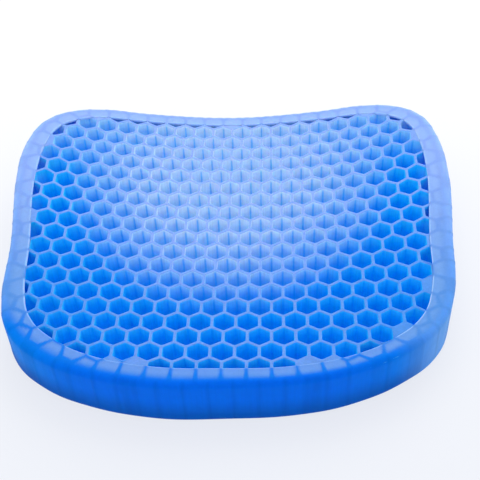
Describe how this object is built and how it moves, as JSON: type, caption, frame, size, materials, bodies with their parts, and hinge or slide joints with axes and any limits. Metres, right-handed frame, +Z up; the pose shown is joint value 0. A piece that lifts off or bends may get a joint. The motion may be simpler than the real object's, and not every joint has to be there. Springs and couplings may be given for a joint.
{
  "type": "honeycomb gel seat cushion",
  "caption": "Dished seat pad of clear blue gel: a field of open hexagonal cells inside an upright skirt, with a thin rounded shoulder skin over its edge.",
  "frame": {"origin": "middle of the footprint, on the plane that the pad rests on", "axes": "+X across the seat to the sitter's right, +Y to the back of the seat, +Z up; the convex front edge is towards -Y"},
  "size_m": [0.4006, 0.3519, 0.0584],
  "materials": {
    "gel_wall": "smooth semi-gloss clear blue elastomer, deep where the wall is thick",
    "gel_skin": "thin clear blue elastomer skin, satin",
    "gel_cells": "clear blue elastomer cell walls, satin with paler top edges"
  },
  "bodies": {
    "root": {"skirt_wall": "gel_wall", "shoulder_skin": "gel_skin", "seat_honeycomb": "gel_cells"}
  },
  "joints": []
}
